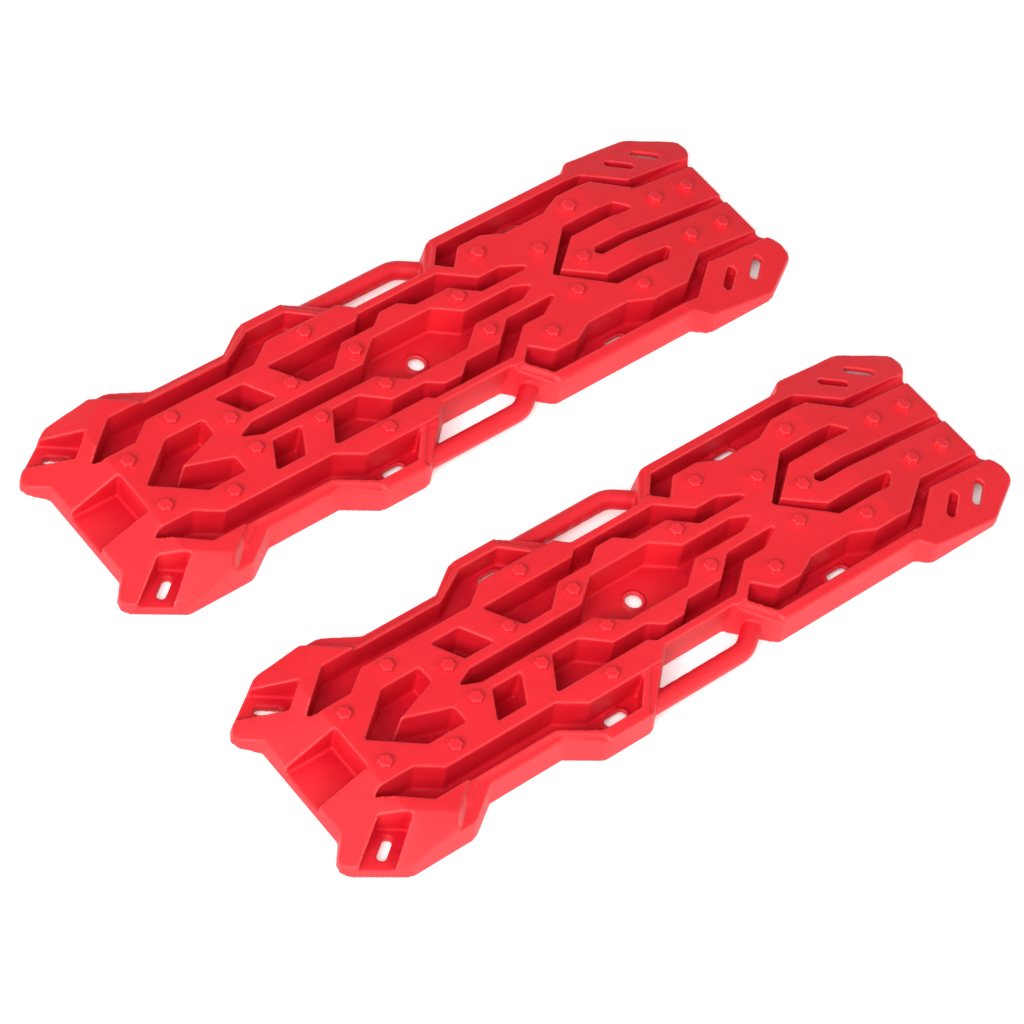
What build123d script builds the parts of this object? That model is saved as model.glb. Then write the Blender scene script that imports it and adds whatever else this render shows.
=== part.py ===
"""A pair of ribbed traction mats lying side by side on the ground.

Each mat is a hollow moulded board with carrying handles and hexagonal studs.
In the mat's frame x runs along the board from the nose (-x) to the tail (+x), with the
origin at mid length, y = 0 is the centre line and z = 0 is the ground.
"""
from build123d import *
import math
import os

os.makedirs("parts", exist_ok=True)

# ---- driving dimensions, mm -------------------------------------------------------
PAIR_PITCH = 440.0      # centre line to centre line of the two mats
DECK_Z = 53.0           # top of the flat deck above the ground
WALL = 4.0              # moulded wall thickness
FLOOR_T = 4.0           # thickness of the pocket floors
SKIRT_DRAFT = 7.0       # outward flare of the outer skirt, degrees
POCKET_DRAFT = 3.0      # draft of the pocket walls, degrees
FLOOR_Z = 8.5           # top of the pocket floors
TAIL_FLOOR_Z = 16.5     # top of the floors of the shallow tail pockets
NOSE_RECESS_Z = 12.0    # top of the floors of the nose recesses

# falls of the top surface, mm per mm
NOSE_CREASE = -432.0    # station where the shovel ramp starts
NOSE_SLOPE = 0.437      # toward the shovel tips
TAIL_CREASE = 350.0     # station where the long drive-off ramp starts
TAIL_SLOPE = 0.167      # toward the tongue
SHOULDER_Y = 79.0       # the shoulders fall away outboard of this line
SHOULDER_SLOPE = 0.20
LEDGE_DROP = 3.5        # ledges lie this far below the shoulders
CORNER_SLOPE = 0.50     # outer corner facet of the shovel
CORNER_AIM = (-0.603, 0.798)        # the way that facet falls
CORNER_FROM = (-418.0, 113.0)       # a point on its crease
BLOCK_SLOPE = 2.0       # flank of the corner block
BLOCK_AIM = (0.605, 0.796)          # the way that flank falls
BLOCK_EDGE = (-348.3, 113.1)        # start of the block's rear edge

# studs
STUD_AF = 18.0          # hexagon across flats
STUD_H = 7.0            # height above the seat
STUD_DRAFT, STUD_CHAMFER = 7.0, 1.3
SPIGOT_D, SPIGOT_L = 9.0, 5.0
SPIGOT_FIT = 0.1        # radial play of the spigot in its hole
SPIGOT_END_GAP = 0.3    # hole depth beyond the spigot length
SEAT_D, SEAT_H = 22.0, 0.8
BOSS_D, BOSS_H = 16.0, 8.0          # bosses under the deck behind the studs

# ribs in the open underside
RIB_T, RIB_Z = 3.0, 12.0            # thickness, height of the lower edge
RIB_X = range(-478, 483, 60)        # stations of the cross ribs
RIB_Y = [20, 62, 98]                # long ribs on either side of the centre line
CROSS_RIB_L, LONG_RIB_L = 400, 1200

# carrying handles: a straight bar from X0 to X1, then a bend to (X2, Y2)
HANDLE_D = 25.5
HANDLE_Y, HANDLE_Z = 136.5, 19.0
HANDLE_X0, HANDLE_X1, HANDLE_X2, HANDLE_Y2 = -88.0, 72.5, 106.0, 112.1
HANDLE_BEND_R = 35
SCALLOP_X = range(-50, 51, 20)
SCALLOP_D, SCALLOP_DEPTH = 24.0, 1.8
SCALLOP_Y = HANDLE_Y - HANDLE_D / 2 - SCALLOP_D / 2 + SCALLOP_DEPTH

# round and oblong holes in the pocket floors, with raised rims
CENTRE_HOLE_X, CENTRE_HOLE_D = 9, 22.0
OBLONGS = [(-121, 122.5), (253, 109)]
OBLONG_L, OBLONG_W = 32.0, 14.0
RIM_T, RIM_H = 3.5, 3.0

# slanted slots near the ends: x, y, turn in degrees, length, width
NOSE_SLOTS = [(-464.8, 113.9, -36, 34.5, 12.0)]
BLIND_SLOTS = [(440, 116, -40, 40.5, 11.5)]
TAIL_THROUGH_SLOTS = [(487.6, 116, -40, 40.5, 11.5)]
BLIND_Z = 15.5          # floor of the blind slots
SLEEVE_T = 3.0          # wall round the slots
NOSE_SLEEVE_Z = -5      # lower ends of the sleeves
TAIL_SLEEVE_Z = 11.5

# reach of the cutting solids
FAR = 700.0             # far end of the regions
TOP = 90.0              # height, clear of the deck
UNDER = 1               # start below the ground
DEEP = 20               # start of the surface cutters below the ground
OVERLAP = 1             # rims start this far inside the floors
SCALLOP_EXTRA = 4       # scallop cutter length beyond the bar diameter

# ---- outlines: stations x along the mat, offsets y from its centre line ------------
# half outlines on the +y side of features astride the centre line
SKIRT = [(-502, 74), (-521, 96), (-523.5, 108), (-516.5, 119), (-460, 156.6),
         (-452, 158.6), (-367, 158.6), (-358, 155.6), (-319, 129.8),
         (-209, 129.8), (-168, 157.4), (-160, 159.2), (-96, 159.2),
         (-88, 156.8), (-14.5, 89), (75, 89), (119, 137.5), (128, 143.6),
         (355, 143.6), (372, 157.4), (379, 159.2), (480, 159.2), (488, 156.9),
         (547, 122), (551, 114), (551, 99), (546, 88), (533, 74)]
INNER_SKIRT = [(-502, 74), (-521, 96), (-523.5, 108), (-516.5, 119), (-456, 158.6),
               (-362.5, 158.6), (-319, 129.8), (-209, 129.8), (-165, 159.2),
               (-92, 159.2), (-4.7, 80), (66.7, 80), (126, 143.6), (355, 143.6),
               (376, 159.2), (484, 159.2), (551, 119.6), (551, 93), (533, 74)]
BAND = [(-140, 91.5), (130, 91.5)]
V_POCKET = [(-413, 0), (-353, 46), (-297, 46), (-297, 22), (-361, 0)]
CENTRE_POCKET = [(-273, 0), (-246, 11.5), (-73, 11.5), (-38, 38.5), (55, 38.5),
                 (90, 11.5), (168, 11.5), (193, 0)]
ARROW = [(227, 0), (291, 57.5), (378, 58), (395, 43), (393, 38), (289, 38),
         (241, 0)]
TAIL_GROOVE = [(299, 0), (305, 7.5), (600, 7.5)]
NOSE_RECESS = [(-FAR, 32), (NOSE_CREASE, 32)]

# whole outlines of the features that have a twin on the -y side
DIAMOND = [(-242, 26), (-198, 26), (-221, 66), (-265, 66)]
WING = [(-178, 70), (-150, 26), (-109, 26), (-76, 54), (-25, 54), (-4, 69),
        (24, 69), (43, 54), (97, 54), (130, 26.5), (205, 26.5), (205, 31),
        (175, 46.5), (141, 46.5), (98, 80.5), (-29, 80.5), (-38, 73),
        (-177, 73)]
NOSE_SIDE = [(-449, 66), (-437, 61), (-387, 61.5), (-356, 83.5), (-191, 83.5),
             (-156, 106.3), (-70, 106.3), (-100, 140.3), (-160, 140.3),
             (-212, 110.5), (-393, 110.5)]
TAIL_SIDE = [(124, 77), (148, 101), (152, 102.5), (187, 102.5), (217, 88.5),
             (282, 88.5), (315, 103), (374, 102), (426, 66), (431, 66),
             (431, 84.4), (428, 84.4), (376, 124.4), (133, 124.4), (105, 93.5)]
TAIL_CHANNEL = [(427, 66), (600, 66), (600, 84.4), (427, 84.4)]
CORNER_RECESS = [(-457, 87), (-425.6, 110), (-547, 199.4), (-620, 194.9)]

# +y regions where the top surface leaves the flat deck
NOSE_INNER = [(NOSE_CREASE, 0), (-640, 0), (-640, 206.5), (NOSE_CREASE, 102.5)]
NOSE_OUTER = [(-340, 56.5), (-640, 206.5), (-640, 300), (-340, 300)]
SHOULDER = [(-350, 112), (-335, 98), (-205, 98), (-165, 122), (-158, 106.3),
            (-41, 106.3), (-20, 130), (-20, 260), (-544.6, 260)]
TAIL_RIM = [(TAIL_CREASE, 113), (132, 113), (106, 94), (86, 96.5), (60, 100),
            (60, 260), (TAIL_CREASE, 260)]
TONGUE = [(TAIL_CREASE, 0), (TAIL_CREASE, 113), (378, 113), (430, 75), (FAR, 75),
          (FAR, 0)]
TAB = [(TAIL_CREASE, 113), (378, 113), (430, 75), (FAR, 75), (FAR, 260),
       (TAIL_CREASE, 260)]
LEDGE_NOSE = [(-374, 130.2), (-358, 133), (-336, 119), (-331, 115.5),
              (-213.5, 115.5), (-160, 148), (-160, 260), (-544.6, 260)]
LEDGE_MID = [(-94, 145.5), (-60, 106.3), (-41, 106.3), (-20, 130), (-20, 260),
             (-94, 260)]
LEDGE_TAIL = [(96, 95), (100.5, 98), (131, 131.5), (136, 260), (60, 260),
              (60, 100), (86, 96.5)]

# stud centres: pairs on the deck, one on the centre line, pairs on the tail ramp
STUDS = [(-413.7, 39.8), (-330.6, 66.7), (-268.7, 27.0), (-172.3, 31.8),
         (-109.5, 89.6), (-71.2, 32.1), (95.5, 32.5), (163.1, 77.6),
         (235.6, 40.6), (316.0, 78.1)]
AXIS_STUD = (277.2, 0)
RAMP_STUDS = [(435.5, 37.5), (491.7, 37.5)]

SKIRT_STATIONS = [x for x, y in SKIRT]
X_MID = (min(SKIRT_STATIONS) + max(SKIRT_STATIONS)) / 2     # station of mid length


# ---- outline and placing helpers ---------------------------------------------------
def at(points):
    """Stations of the tables in the mat's own frame, origin at mid length."""
    return [(x - X_MID, y) for x, y in points]


def flip(points):
    return [(x, -y) for x, y in points]


def twins(points):
    """Each point followed by its mirror image across the centre line."""
    return [(x, side * y) for x, y in points for side in (1, -1)]


def closed(points):
    """The full outline from its +y half."""
    return points + [p for p in flip(points)[::-1] if p[1] != 0]


def inset(points, distance):
    """Mitred offset of a closed polygon, inward for a positive distance."""
    count = len(points)
    area = sum(points[i - 1][0] * points[i][1] - points[i][0] * points[i - 1][1]
               for i in range(count))
    turn = 1.0 if area > 0 else -1.0
    moved = []
    for i in range(count):
        (x0, y0), (x1, y1), (x2, y2) = points[i - 1], points[i], points[(i + 1) % count]
        # inward unit normals of the edges before and after the point
        before, after = math.hypot(x1 - x0, y1 - y0), math.hypot(x2 - x1, y2 - y1)
        ax, ay = -(y1 - y0) / before * turn, (x1 - x0) / before * turn
        bx, by = -(y2 - y1) / after * turn, (x2 - x1) / after * turn
        mitre = 1 + ax * bx + ay * by
        moved.append((x1 + distance * (ax + bx) / mitre,
                      y1 + distance * (ay + by) / mitre))
    return moved


def stud_places(drop=0.0):
    """Locations of the stud seats, lowered by drop and leaning with the surface."""
    lean = math.degrees(math.atan(TAIL_SLOPE))
    seats = [(x, y, DECK_Z, 0.0) for x, y in twins(STUDS) + [AXIS_STUD]]
    seats += [(x, y, DECK_Z - TAIL_SLOPE * (x - TAIL_CREASE), lean)
              for x, y in twins(RAMP_STUDS)]
    return [Location((x - X_MID, y, z - drop), (0, angle, 0)) for x, y, z, angle in seats]


def draw_slots(slots, grow=0.0):
    """Draw slanted slots and their twins in the open sketch."""
    for x, y, turn, length, width in slots:
        with Locations(Location((x - X_MID, y, 0), (0, 0, turn)),
                       Location((x - X_MID, -y, 0), (0, 0, -turn))):
            SlotOverall(length + 2 * grow, width + 2 * grow)


def draw_floor_holes(grow=0.0):
    """Draw the round centre hole and the oblong holes in the open sketch."""
    with Locations((CENTRE_HOLE_X - X_MID, 0)):
        Circle(CENTRE_HOLE_D / 2 + grow)
    with Locations(*at(twins(OBLONGS))):
        SlotOverall(OBLONG_L + 2 * grow, OBLONG_W + 2 * grow)


# ---- the top surface ---------------------------------------------------------------
def ramp_plane(x0, slope_x, y0, slope_y, drop):
    """Plane z = DECK_Z - drop - slope_x (x - x0) - slope_y (y - y0)."""
    return Plane(origin=(x0 - X_MID, y0, DECK_Z - drop),
                 z_dir=(slope_x, slope_y, 1.0))


def falling_plane(start, aim, slope, drop):
    """Plane drop below the deck in start, falling with the slope the way of aim."""
    return ramp_plane(start[0], slope * aim[0], start[1], slope * aim[1], drop)


def cut_above(region, planes):
    """Solid over a plan region, from the highest of the given surfaces upward."""
    with BuildPart() as cutter:
        with BuildSketch(Plane.XY.offset(-DEEP)):
            Polygon(*at(region), align=None)
        extrude(amount=TOP + DEEP)
        for plane in planes:
            split(bisect_by=plane, keep=Keep.TOP)
    return cutter.part


def make_surface_cut(wall, with_ledges):
    """What lies above the top surface, or above the one a wall further in.

    Without ledges, the shoulders are lowered to ledge height throughout.
    """
    nose = ramp_plane(NOSE_CREASE, -NOSE_SLOPE, 0, 0, wall)
    corner = falling_plane(CORNER_FROM, CORNER_AIM, CORNER_SLOPE, wall)
    flank = falling_plane(BLOCK_EDGE, BLOCK_AIM, BLOCK_SLOPE, wall)
    ledge = ramp_plane(0, 0, SHOULDER_Y, SHOULDER_SLOPE, wall + LEDGE_DROP)
    shoulder = ramp_plane(0, 0, SHOULDER_Y, SHOULDER_SLOPE, wall) if with_ledges else ledge
    tongue = ramp_plane(TAIL_CREASE, TAIL_SLOPE, 0, 0, wall)
    tab = ramp_plane(TAIL_CREASE, TAIL_SLOPE, SHOULDER_Y, SHOULDER_SLOPE, wall)
    cuts = [(NOSE_INNER, nose), (NOSE_OUTER, corner), (SHOULDER, shoulder, flank),
            (TAIL_RIM, shoulder), (TONGUE, tongue), (TAB, tab)]
    if with_ledges:
        cuts += [(LEDGE_NOSE, ledge, flank), (LEDGE_MID, ledge), (LEDGE_TAIL, ledge)]
    with BuildPart() as surface_cut:
        for region, *planes in cuts:
            add(cut_above(inset(region, -wall), planes))
        mirror(about=Plane.XZ)
    return surface_cut.part


# ---- the pockets, drafted from the deck down to their floors -----------------------
def make_pockets(wall=0.0, floor=0.0):
    """All pockets and recesses, enlarged by a wall all round and a floor below."""
    draft = math.tan(math.radians(POCKET_DRAFT))
    outlines = [closed(V_POCKET), closed(CENTRE_POCKET), closed(ARROW)]
    for side in (DIAMOND, WING, NOSE_SIDE, TAIL_SIDE):
        outlines += [side, flip(side)]
    shallow = [closed(TAIL_GROOVE), TAIL_CHANNEL, flip(TAIL_CHANNEL)]
    with BuildPart() as pockets:
        for outline, floor_z in ([(p, FLOOR_Z) for p in outlines]
                                 + [(p, TAIL_FLOOR_Z) for p in shallow]):
            low = floor_z - floor
            with BuildSketch(Plane.XY.offset(DECK_Z)):
                Polygon(*at(inset(outline, -wall)), align=None)
            with BuildSketch(Plane.XY.offset(low)):
                Polygon(*at(inset(outline, (DECK_Z - low) * draft - wall)), align=None)
            loft(ruled=True)
        for outline in (closed(NOSE_RECESS), CORNER_RECESS, flip(CORNER_RECESS)):
            with BuildSketch(Plane.XY.offset(NOSE_RECESS_Z - floor)):
                Polygon(*at(inset(outline, -wall)), align=None)
            extrude(amount=TOP)
    return pockets.part


# ---- the open underside ------------------------------------------------------------
def make_stiffeners():
    """What stays standing underneath: ribs, stud bosses and slot sleeves."""
    standing = (Align.CENTER, Align.CENTER, Align.MIN)
    with BuildPart() as stiffeners:
        with Locations(*[(x - X_MID, 0, RIB_Z) for x in RIB_X]):
            Box(RIB_T, CROSS_RIB_L, TOP, align=standing)
        with Locations(*[(0, side * y, RIB_Z) for y in RIB_Y for side in (1, -1)]):
            Box(LONG_RIB_L, RIB_T, TOP, align=standing)
        with Locations(*stud_places(BOSS_H)):
            Cylinder(BOSS_D / 2, TOP, align=standing)
        for low, slots in ((NOSE_SLEEVE_Z, NOSE_SLOTS),
                           (TAIL_SLEEVE_Z, BLIND_SLOTS + TAIL_THROUGH_SLOTS)):
            with BuildSketch(Plane.XY.offset(low)):
                draw_slots(slots, SLEEVE_T)
            extrude(amount=TOP)
    return stiffeners.part


def make_cavity(skirt_lean):
    """The hollow under the deck, less the pocket shells and the stiffeners."""
    solid_zones = [make_surface_cut(WALL, with_ledges=False),
                   make_pockets(WALL, FLOOR_T), make_stiffeners()]
    roof = DECK_Z - WALL
    inner = inset(closed(INNER_SKIRT), WALL)
    with BuildPart() as cavity:
        with BuildSketch(Plane.XY.offset(-UNDER)):
            Polygon(*at(inner), align=None)
        with BuildSketch(Plane.XY.offset(roof)):
            Polygon(*at(inset(inner, roof * skirt_lean)), align=None)
        loft(ruled=True)
        add(solid_zones, mode=Mode.SUBTRACT)
    return cavity.part


# ---- handles, rims, seats and holes ------------------------------------------------
def make_handles():
    """Round bars that bend into the sides of the board, scalloped on the inner side."""
    with BuildPart() as handles:
        with BuildLine(Plane.XY.offset(HANDLE_Z)) as bar_path:
            FilletPolyline((HANDLE_X0 - X_MID, HANDLE_Y), (HANDLE_X1 - X_MID, HANDLE_Y),
                           (HANDLE_X2 - X_MID, HANDLE_Y2), radius=HANDLE_BEND_R)
        with BuildSketch(Plane(origin=bar_path.line @ 0, z_dir=bar_path.line % 0)):
            Circle(HANDLE_D / 2)
        sweep(path=bar_path.line)
        with Locations(*[(x - X_MID, SCALLOP_Y, HANDLE_Z) for x in SCALLOP_X]):
            Cylinder(SCALLOP_D / 2, HANDLE_D + SCALLOP_EXTRA, mode=Mode.SUBTRACT)
        mirror(about=Plane.XZ)
    return handles.part


def make_raised():
    """Raised rims round the floor holes and round seats under the studs."""
    with BuildPart() as raised:
        with BuildSketch(Plane.XY.offset(FLOOR_Z - OVERLAP)):
            draw_floor_holes(RIM_T)
        extrude(amount=RIM_H + OVERLAP)
        with Locations(*stud_places()):
            Cylinder(SEAT_D / 2, 2 * SEAT_H)
    return raised.part


def make_holes():
    """Everything that goes right through or into the board."""
    with BuildPart() as holes:
        with BuildSketch(Plane.XY.offset(-UNDER)):
            draw_floor_holes()
        extrude(amount=TOP)
        for low, slots in ((-UNDER, NOSE_SLOTS + TAIL_THROUGH_SLOTS),
                           (BLIND_Z, BLIND_SLOTS)):
            with BuildSketch(Plane.XY.offset(low)):
                draw_slots(slots)
            extrude(amount=TOP)
        with Locations(*stud_places()):
            Cylinder(SPIGOT_D / 2 + SPIGOT_FIT, 2 * (SPIGOT_L + SPIGOT_END_GAP))
    return holes.part


# ---- one complete board ------------------------------------------------------------
def make_board():
    skirt_lean = math.tan(math.radians(SKIRT_DRAFT))
    skirt = closed(SKIRT)
    outer_cuts = [make_surface_cut(0.0, with_ledges=True), make_pockets()]
    cavity = make_cavity(skirt_lean)
    additions = [make_raised(), make_handles()]
    holes = make_holes()
    with BuildPart() as board:
        with BuildSketch(Plane.XY):
            Polygon(*at(skirt), align=None)
        with BuildSketch(Plane.XY.offset(DECK_Z)):
            Polygon(*at(inset(skirt, DECK_Z * skirt_lean)), align=None)
        loft(ruled=True)
        # upright band that fills out the waist
        with BuildSketch(Plane.XY):
            Polygon(*at(closed(BAND)), align=None)
        extrude(amount=DECK_Z)
        add(outer_cuts, mode=Mode.SUBTRACT)
        add(cavity, mode=Mode.SUBTRACT)
        add(additions)
        add(holes, mode=Mode.SUBTRACT)
    return board.part


# ---- the hexagonal traction studs --------------------------------------------------
def make_stud():
    """One stud, base on z = 0, spigot below."""
    with BuildPart() as stud:
        with BuildSketch(Plane.XY):
            RegularPolygon(STUD_AF / 2, 6, major_radius=False, rotation=30)
        extrude(amount=STUD_H, taper=STUD_DRAFT)
        chamfer(stud.faces().sort_by(Axis.Z)[-1].edges(), length=STUD_CHAMFER)
        with BuildSketch(Plane.XY):
            Circle(SPIGOT_D / 2)
        extrude(amount=-SPIGOT_L)
    return stud.part


def make_studs():
    """All the studs of one mat, standing on their seats."""
    stud = make_stud()
    with BuildPart() as studs:
        with Locations(*[place * Location((0, 0, SEAT_H)) for place in stud_places()]):
            add(stud)
    return studs.part


# ---- the pair of mats, side by side on the ground ----------------------------------
def export_piece(name, shape, y):
    with BuildPart() as piece:
        with Locations((0, y, 0)):
            add(shape, clean=False)
    piece.part.label = name
    export_step(piece.part, f"parts/{name}.step")


board_shape = make_board()
studs_shape = make_studs()
for mat, mat_y in (("mat_a", -PAIR_PITCH / 2), ("mat_b", PAIR_PITCH / 2)):
    export_piece(f"{mat}_board", board_shape, mat_y)
    export_piece(f"{mat}_studs", studs_shape, mat_y)
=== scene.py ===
# Two red injection-moulded mats, A and B, each a board and its studs, lying near the origin
# on a white floor just below z = 0. The camera looks down from the -X, -Y side.
import bpy
from mathutils import Matrix, Vector

# ------------------------------------------------------------------ sizes and places (m)
BOARD_VOXEL = 0.0018
STUD_VOXEL = 0.0006
WELD_DISTANCE = 0.00003
BOARD_EDGE_REACH = 0.0027   # how far inward the painted edge-highlight mask looks
STUD_EDGE_REACH = 0.0015
FOLD_REACH = 0.050          # how far outward the painted-shade mask looks
FLOOR_SIZE = 30
FLOOR_Z = -0.0005
FLOOR_SHADOW_REACH = 0.05

# name, place, side of the square panel, power in watts
SOFTBOXES = [
    ("key", (-6.0, -2.2, 5.2), 4.0, 620),
    ("front", (0.8, -5.5, 4.0), 3.2, 110),
    ("top", (-1.3, -1.1, 5.4), 1.4, 30),
]

CAMERA_PLACE = (-2.171246070597133, -1.8753291088162396, 3.623855092390735)
# the camera's own X, Y and Z axes; it looks along -Z
CAMERA_RIGHT = (0.7745225849126189, -0.6167315918825238, 0.14055927231713927)
CAMERA_UP = (0.43014529856827033, 0.6764480708135612, 0.597823577330491)
CAMERA_BACK = (-0.46377773510582554, -0.40256695227832595, 0.7892085030924663)
SENSOR_WIDTH = 36.0         # mm
LENS = 129.52256            # mm

# linear RGB
BOARD_RED, BOARD_DEEP_RED = (0.90, 0.017, 0.029), (0.84, 0.011, 0.022)
STUD_RED, STUD_DEEP_RED = (0.93, 0.018, 0.032), (0.88, 0.012, 0.025)
# pale red of the convex edges: a painted highlight
PAINTED_HIGHLIGHT_RED = (1.0, 0.21, 0.19)
# deep red of the folds: painted shade
PAINTED_SHADE_RED = (0.41, 0.0003, 0.016)
WHITE = (1.0, 1.0, 1.0, 1)


# ------------------------------------------------------------------ shader kit
def feed(node, key, value):
    """Link an output socket to a node's input, or set the input to a plain value."""
    if isinstance(value, bpy.types.NodeSocket):
        node.id_data.links.new(value, node.inputs[key])
    else:
        node.inputs[key].default_value = value


def add(tree, kind, **settings):
    """Add a node; each setting is one of its properties or else one of its inputs."""
    node = tree.nodes.new(kind)
    for key, value in settings.items():
        if key in node.bl_rna.properties:
            setattr(node, key, value)
        else:
            feed(node, key, value)
    return node


def new_material(name):
    """A material holding only a Principled shader and its output."""
    material = bpy.data.materials.new(name)
    material.use_nodes = True
    tree = material.node_tree
    tree.nodes.clear()
    output = add(tree, "ShaderNodeOutputMaterial")
    shader = add(tree, "ShaderNodeBsdfPrincipled")
    feed(output, "Surface", shader.outputs["BSDF"])
    return material, tree, shader


def noise(tree, coord, scale, detail, rough, stretch=(1, 1, 1)):
    mapping = add(tree, "ShaderNodeMapping", Scale=stretch, Vector=coord)
    texture = add(tree, "ShaderNodeTexNoise", Scale=scale, Detail=detail, Roughness=rough,
                  Vector=mapping.outputs["Vector"])
    return texture.outputs["Fac"]


def ramp(tree, source, stops):
    """Colour ramp; each stop is (position, grey level or RGB)."""
    node = add(tree, "ShaderNodeValToRGB", Fac=source)
    elements = node.color_ramp.elements
    while len(elements) < len(stops):
        elements.new(0.5)
    for element, (position, value) in zip(elements, stops):
        rgb = value if isinstance(value, tuple) else (value, value, value)
        element.position = position
        element.color = (*rgb, 1)
    return node.outputs["Color"]


def calc(tree, operation, a, b, clamp=False):
    node = add(tree, "ShaderNodeMath", operation=operation, use_clamp=clamp)
    feed(node, 0, a)
    feed(node, 1, b)
    return node.outputs["Value"]


def mix(tree, factor, a, b, blend="MIX"):
    node = add(tree, "ShaderNodeMix", data_type="RGBA", blend_type=blend)
    # inputs 6 and 7 are the two colours
    for index, value in ((0, factor), (6, a), (7, b)):
        feed(node, index, value)
    return node.outputs["Result"]


def occlusion(tree, reach, **settings):
    node = add(tree, "ShaderNodeAmbientOcclusion", Distance=reach, **settings)
    return node.outputs["AO"]


# ------------------------------------------------------------------ moulded plastic
def mottle(tree, coord, base, deep):
    """Broad, faint flow and cooling variation, with fine specks."""
    broad = noise(tree, coord, scale=5.0, detail=3.0, rough=0.5, stretch=(1.0, 2.2, 1.0))
    cloudy = ramp(tree, broad, stops=[(0.30, deep), (0.72, base)])
    fine = noise(tree, coord, scale=70.0, detail=5.0, rough=0.65)
    speck = ramp(tree, fine, stops=[(0.35, 0.94), (0.65, 1.0)])
    return mix(tree, 1.0, cloudy, speck, blend="MULTIPLY")


def edge_highlight_and_wear(tree, coord, reach):
    """Mask of convex edges, for a painted highlight in the colour and polish in the
    roughness: a short look inward finds them.
    """
    inner = occlusion(tree, reach, samples=3, inside=True, only_local=True)
    # convex edges: the mask for the painted highlight
    edge = ramp(tree, inner, stops=[(0.50, 1.0), (0.96, 0.0)])
    edge_breakup = noise(tree, coord, scale=38.0, detail=4.0, rough=0.7)
    edge_breakup_mask = ramp(tree, edge_breakup, stops=[(0.36, 0.45), (0.62, 1.0)])
    highlight_and_wear = calc(tree, "MULTIPLY", edge, edge_breakup_mask)
    strength = 0.78
    return calc(tree, "MULTIPLY", highlight_and_wear, strength)


def fold_painted_shade(tree, coord):
    """Mask of painted shade where the moulding folds inward, stronger on floors than on
    walls.
    """
    outer = occlusion(tree, FOLD_REACH, samples=3, only_local=True)
    # painted shade deepens as the folds close in, and eases off in the narrowest channels
    # to stand in for red bounce light
    fold = ramp(tree, outer, stops=[(0.05, 0.62), (0.32, 1.0), (0.88, 0.0)])
    patches = noise(tree, coord, scale=24.0, detail=4.0, rough=0.65)
    patch_mask = ramp(tree, patches, stops=[(0.35, 0.72), (0.65, 1.0)])
    painted_shade = calc(tree, "MULTIPLY", fold, patch_mask)
    geometry = add(tree, "ShaderNodeNewGeometry")
    facing = add(tree, "ShaderNodeSeparateXYZ", Vector=geometry.outputs["Normal"])
    # the painted shade is stronger on faces turned up than on walls
    shade_by_facing = ramp(tree, facing.outputs["Z"], stops=[(0.45, 0.60), (0.92, 0.96)])
    return calc(tree, "MULTIPLY", painted_shade, shade_by_facing)


def satin(tree, coord, highlight_and_wear):
    """Uneven roughness, smoother where worn, and the hair scratches along X within it."""
    patches = noise(tree, coord, scale=14.0, detail=4.0, rough=0.6)
    rough = ramp(tree, patches, stops=[(0.30, 0.47), (0.70, 0.57)])
    hairs = noise(tree, coord, scale=55.0, detail=2.0, rough=0.4, stretch=(1.0, 34.0, 1.0))
    hair_mask = ramp(tree, hairs, stops=[(0.735, 0.0), (0.755, 1.0)])
    scratch_depth, wear_polish = 0.10, -0.20
    scratches = calc(tree, "MULTIPLY", hair_mask, scratch_depth)
    scratched = calc(tree, "ADD", rough, scratches)
    polish = calc(tree, "MULTIPLY", highlight_and_wear, wear_polish)
    return calc(tree, "ADD", scratched, polish, clamp=True), scratches


def grain_normal(tree, coord, scratches, grain):
    """Bump of spark-eroded grain in two sizes, with the scratches cut into it."""
    fine = noise(tree, coord, scale=900.0, detail=3.0, rough=0.6)
    coarse = noise(tree, coord, scale=260.0, detail=3.0, rough=0.6)
    coarse_share = 0.6
    coarse_height = calc(tree, "MULTIPLY", coarse, coarse_share)
    height = calc(tree, "ADD", fine, coarse_height)
    scratched = calc(tree, "SUBTRACT", height, scratches)
    bump = add(tree, "ShaderNodeBump", Strength=0.22 * grain, Distance=0.0004,
               Height=scratched)
    return bump.outputs["Normal"]


def moulded_plastic(name, base, deep, edge_reach, grain):
    """Satin nylon with fine grain, a painted highlight and lower roughness on the edges,
    and painted shade in the folds.
    """
    material, tree, shader = new_material(name)
    coord = add(tree, "ShaderNodeTexCoord").outputs["Object"]

    colour = mottle(tree, coord, base, deep)
    highlight_and_wear = edge_highlight_and_wear(tree, coord, edge_reach)
    # paler convex edges: a painted highlight
    colour = mix(tree, highlight_and_wear, colour, (*PAINTED_HIGHLIGHT_RED, 1.0))
    painted_shade = fold_painted_shade(tree, coord)
    # deeper red in the folds: painted shade
    colour = mix(tree, painted_shade, colour, (*PAINTED_SHADE_RED, 1.0))
    feed(shader, "Base Color", colour)

    roughness, scratches = satin(tree, coord, highlight_and_wear)
    feed(shader, "Roughness", roughness)
    feed(shader, "IOR", 1.52)

    # less specular in the folds, along with the painted shade
    shade_dulling, base_specular = -0.56, 0.5
    dulling = calc(tree, "MULTIPLY", painted_shade, shade_dulling)
    specular = calc(tree, "ADD", dulling, base_specular, clamp=True)
    feed(shader, "Specular IOR Level", specular)
    feed(shader, "Normal", grain_normal(tree, coord, scratches, grain))
    return material


# ------------------------------------------------------------------ mats
def dress(piece, material):
    for slot in piece.material_slots:
        slot.material = material


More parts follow.
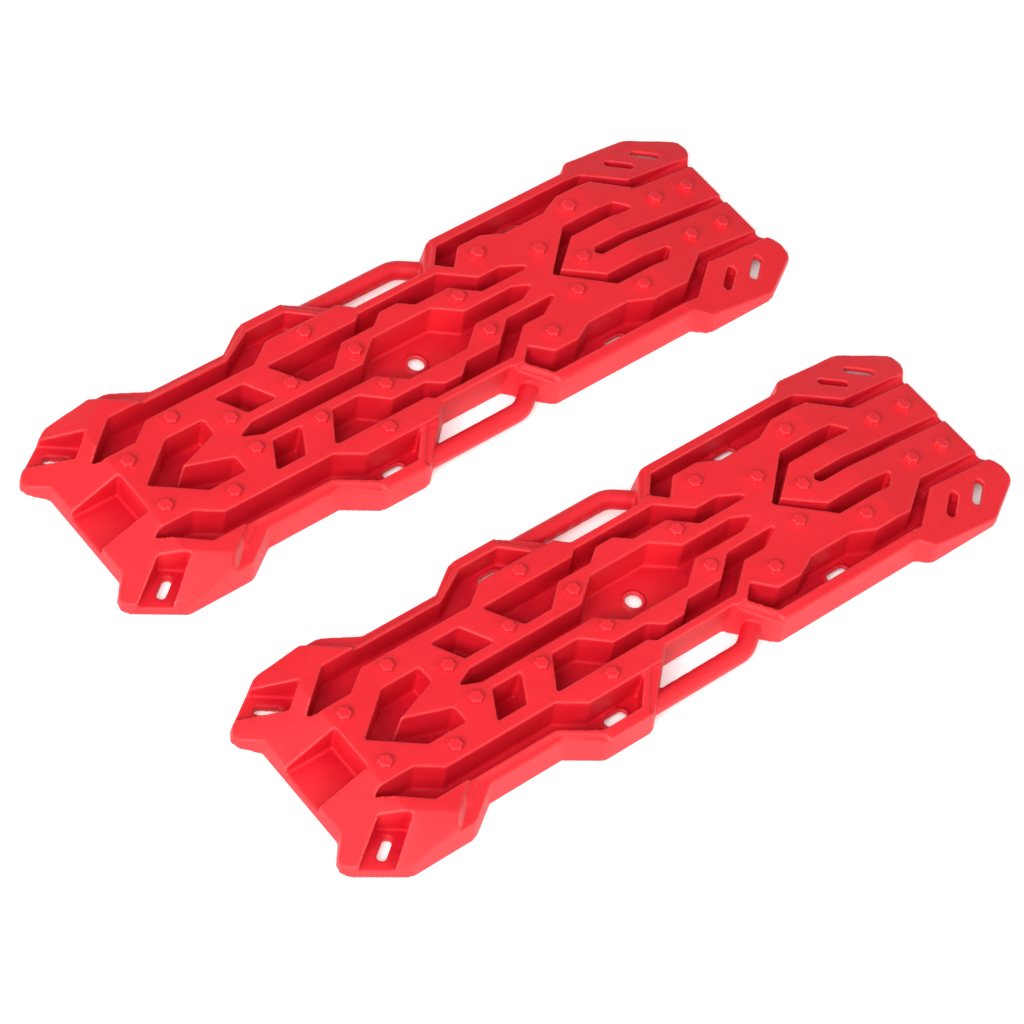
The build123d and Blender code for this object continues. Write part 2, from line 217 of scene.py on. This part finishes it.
def soften(piece, voxel, rounds, keep):
    """Mould radii on every edge of a CAD node, through modifiers only."""
    skin = piece.modifiers.new("mould_skin", "REMESH")
    skin.mode = "VOXEL"
    skin.voxel_size = voxel
    skin.adaptivity = 0.0
    skin.use_smooth_shade = True
    ease = piece.modifiers.new("mould_radius", "SMOOTH")
    ease.factor = 0.5
    ease.iterations = rounds
    thin = piece.modifiers.new("thin_out", "DECIMATE")
    thin.ratio = keep
    # the collapse leaves tiny specks: weld them away
    tidy = piece.modifiers.new("tidy", "WELD")
    tidy.merge_threshold = WELD_DISTANCE


def finish_mats(nodes):
    board = moulded_plastic("board_moulding", BOARD_RED, BOARD_DEEP_RED,
                            edge_reach=BOARD_EDGE_REACH, grain=1.0)
    stud = moulded_plastic("stud_moulding", STUD_RED, STUD_DEEP_RED,
                           edge_reach=STUD_EDGE_REACH, grain=0.8)
    for name in ("mat_a_board", "mat_b_board"):
        dress(nodes[name], board)
        soften(nodes[name], voxel=BOARD_VOXEL, rounds=3, keep=0.168)
    for name in ("mat_a_studs", "mat_b_studs"):
        dress(nodes[name], stud)
        soften(nodes[name], voxel=STUD_VOXEL, rounds=4, keep=0.4)


# ------------------------------------------------------------------ studio
def make_floor():
    """White floor that glows; the glow fades to a painted shadow where something stands
    close over it.
    """
    bpy.ops.mesh.primitive_plane_add(size=FLOOR_SIZE, location=(0, 0, FLOOR_Z))
    floor = bpy.context.object
    floor.name = "studio_floor"
    material, tree, shader = new_material("studio_floor")
    cover = occlusion(tree, FLOOR_SHADOW_REACH, samples=4)
    # painted shadow: the glow drops where the floor is covered close above
    glow = ramp(tree, cover, stops=[(0.08, 0.0), (0.34, 0.50)])
    feed(shader, "Base Color", (0.80, 0.80, 0.80, 1))
    feed(shader, "Emission Color", WHITE)
    feed(shader, "Emission Strength", glow)
    feed(shader, "Roughness", 0.75)
    feed(shader, "Specular IOR Level", 0.2)
    floor.data.materials.append(material)


def make_world():
    """The camera sees a white sweep; the mats see soft studio light."""
    world = bpy.data.worlds.new("studio")
    bpy.context.scene.world = world
    world.use_nodes = True
    tree = world.node_tree
    light = tree.nodes["Background"]
    feed(light, "Color", WHITE)
    feed(light, "Strength", 0.32)
    seen = add(tree, "ShaderNodeBackground", Color=WHITE, Strength=1.0)
    path = add(tree, "ShaderNodeLightPath")
    sweep = add(tree, "ShaderNodeMixShader")
    feed(sweep, 0, path.outputs["Is Camera Ray"])
    feed(sweep, 1, light.outputs["Background"])
    feed(sweep, 2, seen.outputs["Background"])
    feed(tree.nodes["World Output"], "Surface", sweep.outputs["Shader"])


def softbox(name, place, side, power):
    """Square area light aimed at the origin."""
    data = bpy.data.lights.new(name, "AREA")
    data.shape = "RECTANGLE"
    data.size = data.size_y = side
    data.energy = power
    lamp = bpy.data.objects.new(name, data)
    bpy.context.collection.objects.link(lamp)
    lamp.location = place
    lamp.rotation_mode = "QUATERNION"
    lamp.rotation_quaternion = (-Vector(place)).to_track_quat("-Z", "Y")


def make_camera():
    data = bpy.data.cameras.new("camera")
    camera = bpy.data.objects.new("camera", data)
    bpy.context.collection.objects.link(camera)
    data.sensor_width = SENSOR_WIDTH
    data.lens = LENS
    data.clip_start, data.clip_end = 0.1, 60.0
    pose = Matrix((CAMERA_RIGHT, CAMERA_UP, CAMERA_BACK)).transposed().to_4x4()
    pose.translation = CAMERA_PLACE
    camera.matrix_world = pose
    bpy.context.scene.camera = camera


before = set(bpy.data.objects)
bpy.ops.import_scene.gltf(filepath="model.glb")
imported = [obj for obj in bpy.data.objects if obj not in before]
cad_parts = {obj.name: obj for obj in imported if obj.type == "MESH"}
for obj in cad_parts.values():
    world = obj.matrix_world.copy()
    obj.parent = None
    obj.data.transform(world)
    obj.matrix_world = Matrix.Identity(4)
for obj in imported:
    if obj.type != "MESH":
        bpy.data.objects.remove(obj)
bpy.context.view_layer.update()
finish_mats(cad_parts)
make_floor()
make_world()
for box in SOFTBOXES:
    softbox(*box)
make_camera()

view = bpy.context.scene.view_settings
view.view_transform = "Standard"
view.look = "None"
view.exposure = 0.0
